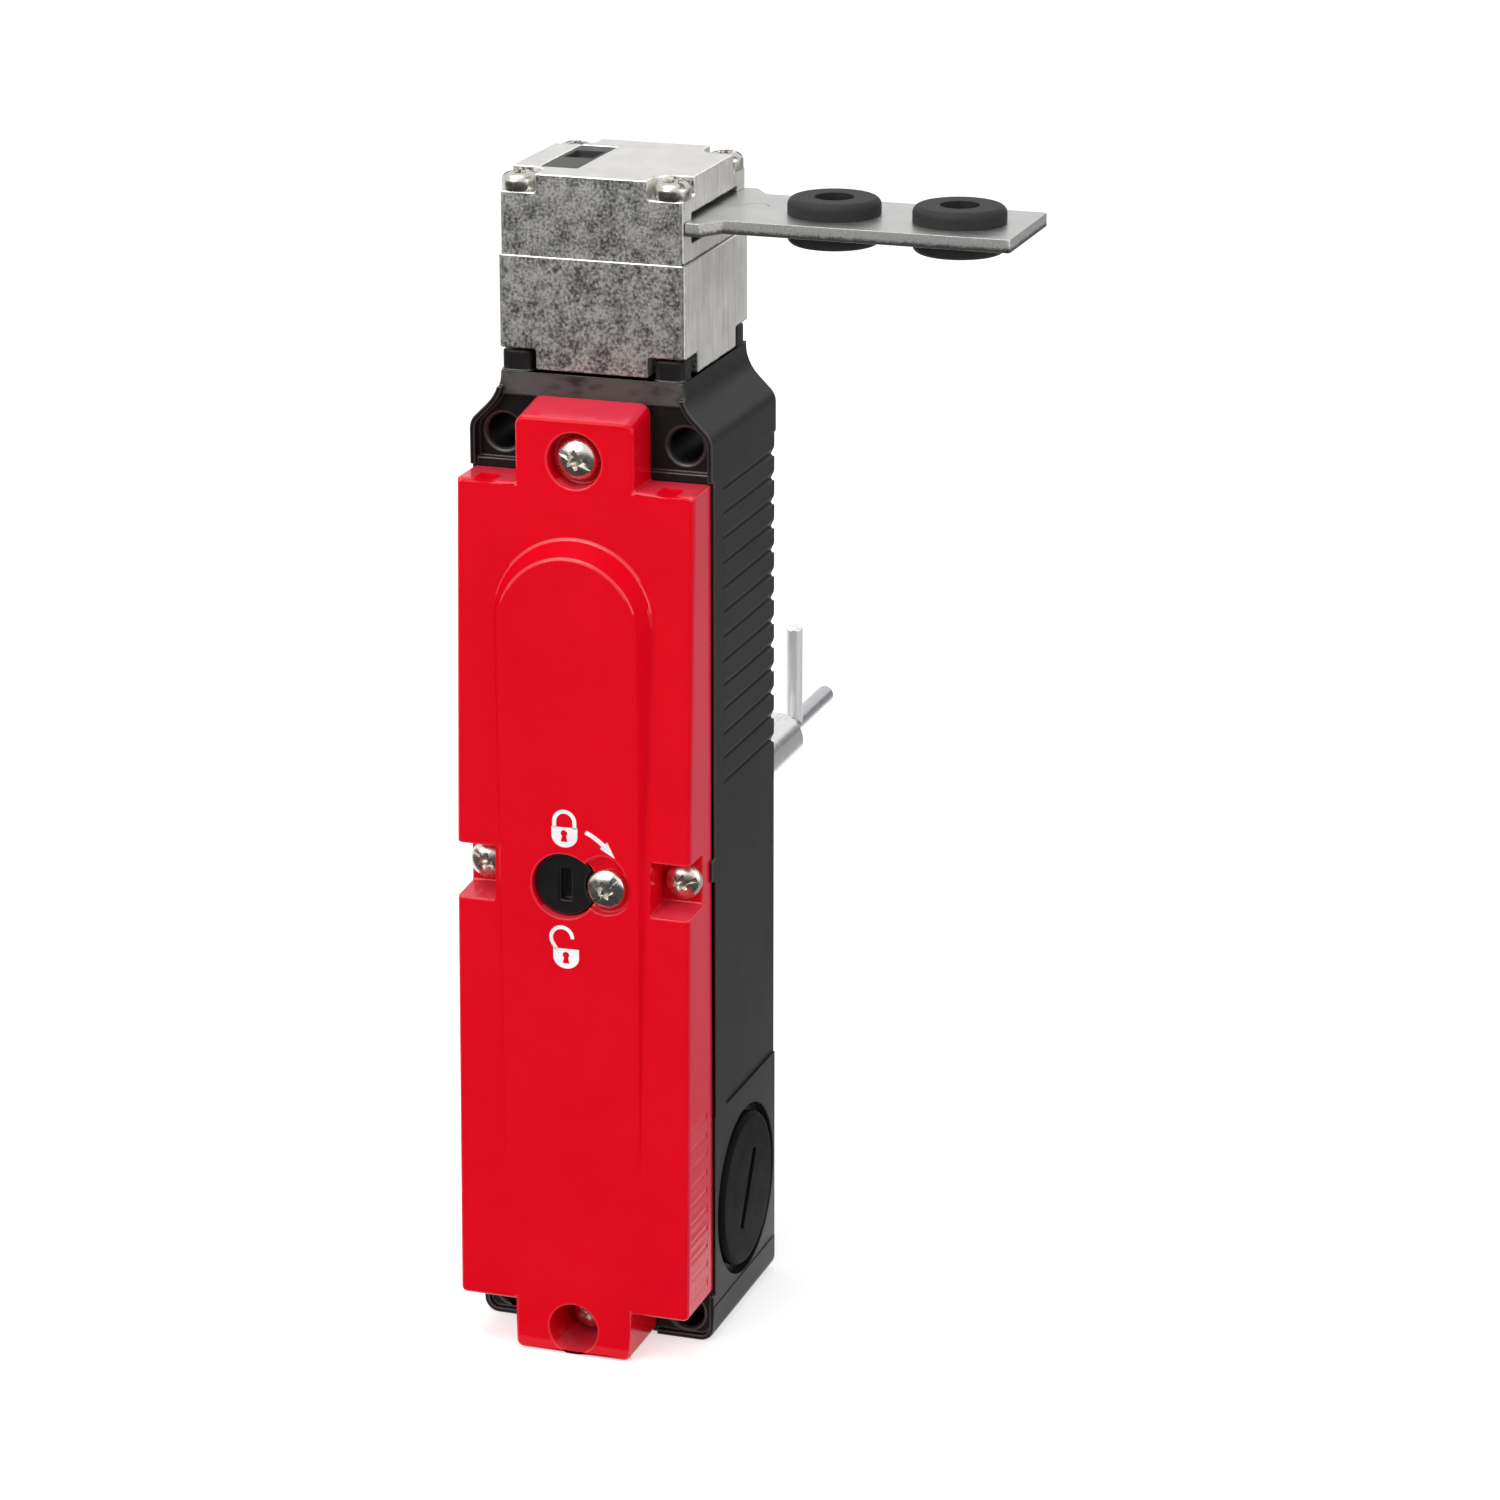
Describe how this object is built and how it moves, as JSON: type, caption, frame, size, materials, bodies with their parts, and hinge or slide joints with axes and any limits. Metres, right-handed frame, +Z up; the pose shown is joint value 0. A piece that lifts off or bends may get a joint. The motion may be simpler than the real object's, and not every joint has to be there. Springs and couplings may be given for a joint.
{
  "type": "tongue interlock switch",
  "caption": "Guard locking safety switch: ribbed black housing, red lid, die cast head with a sliding steel tongue, release key and rear escape shaft.",
  "frame": {"origin": "middle of the four fixing holes, on the rear mounting face", "axes": "+Z up along the housing towards the head, +Y out of the rear face towards the machine, +X towards the tongue"},
  "size_m": [0.0855, 0.134, 0.1905],
  "materials": {
    "black_die_cast": "satin black lacquer",
    "red_cover": "glossy red",
    "nickel_screw": "nickel plated",
    "zinc_die_cast": "blasted die cast",
    "black_plastic": "moulded",
    "plain_steel": "turned",
    "tongue_steel": "satin stainless",
    "bush_rubber": "matt",
    "seal_rubber": "matt",
    "grey_plastic": "moulded",
    "brass": "plain",
    "copper": "enamelled winding",
    "board": "laminate",
    "chrome": "polished"
  },
  "bodies": {
    "switch": {"housing": "black_die_cast", "cover_gasket": "seal_rubber", "red_cover": "red_cover", "cover_screws": "nickel_screw", "key_seal_ring": "seal_rubber", "key_lock_screw": "nickel_screw", "head_base": "zinc_die_cast", "head_cap": "zinc_die_cast", "head_gasket": "seal_rubber", "head_screws": "nickel_screw", "slot_insert": "black_plastic", "cam_axle": "plain_steel", "contact_block": "grey_plastic", "contact_terminals": "brass", "coil_bobbin": "grey_plastic", "solenoid_coil": "copper", "solenoid_yoke": "plain_steel", "entry_plug_right": "black_plastic", "entry_plug_left": "black_plastic", "entry_plug_bottom": "black_plastic", "plug_seals": "seal_rubber", "escape_bush": "plain_steel", "circuit_board": "board", "terminal_block": "grey_plastic", "earth_screw": "brass"},
    "actuator": {"tongue": "tongue_steel", "bush_inner": "bush_rubber", "bush_outer": "bush_rubber"},
    "cam": {"cam_wheel": "plain_steel"},
    "plunger": {"cam_plunger": "grey_plastic", "contact_bridge": "brass"},
    "bolt": {"locking_bolt": "plain_steel", "solenoid_armature": "plain_steel"},
    "key": {"release_key": "black_plastic"},
    "escape": {"escape_shaft": "chrome", "escape_axial_pin": "chrome", "escape_cross_pin": "chrome", "escape_clip": "plain_steel", "escape_cam": "plain_steel"}
  },
  "joints": [
    {"name": "tongue_slide", "type": "slide", "parent": "switch", "child": "actuator", "axis": [1, 0, 0], "range_m": [0, 0.011]},
    {"name": "cam_turn", "type": "hinge", "parent": "switch", "child": "cam", "pos_m": [-0.0035, -0.01555, 0.09835], "axis": [0, 1, 0], "range_deg": [0, 78.8]},
    {"name": "plunger_slide", "type": "slide", "parent": "switch", "child": "plunger", "axis": [0, 0, -1], "range_m": [0, 0.00221]},
    {"name": "bolt_slide", "type": "slide", "parent": "switch", "child": "bolt", "axis": [0, 0, 1], "range_m": [0, 0.004]},
    {"name": "release_key_turn", "type": "hinge", "parent": "switch", "child": "key", "pos_m": [-0.001, -0.03, 0.0032], "axis": [0, 1, 0], "range_deg": [0, 180]},
    {"name": "escape_turn", "type": "hinge", "parent": "switch", "child": "escape", "pos_m": [0, 0, -0.0041], "axis": [0, 1, 0], "range_deg": [0, 90]}
  ],
  "couplings": [
    {"joint": "cam_turn", "follows": "tongue_slide", "rad_per_m": 125},
    {"joint": "plunger_slide", "follows": "tongue_slide", "ratio": 0.2}
  ]
}
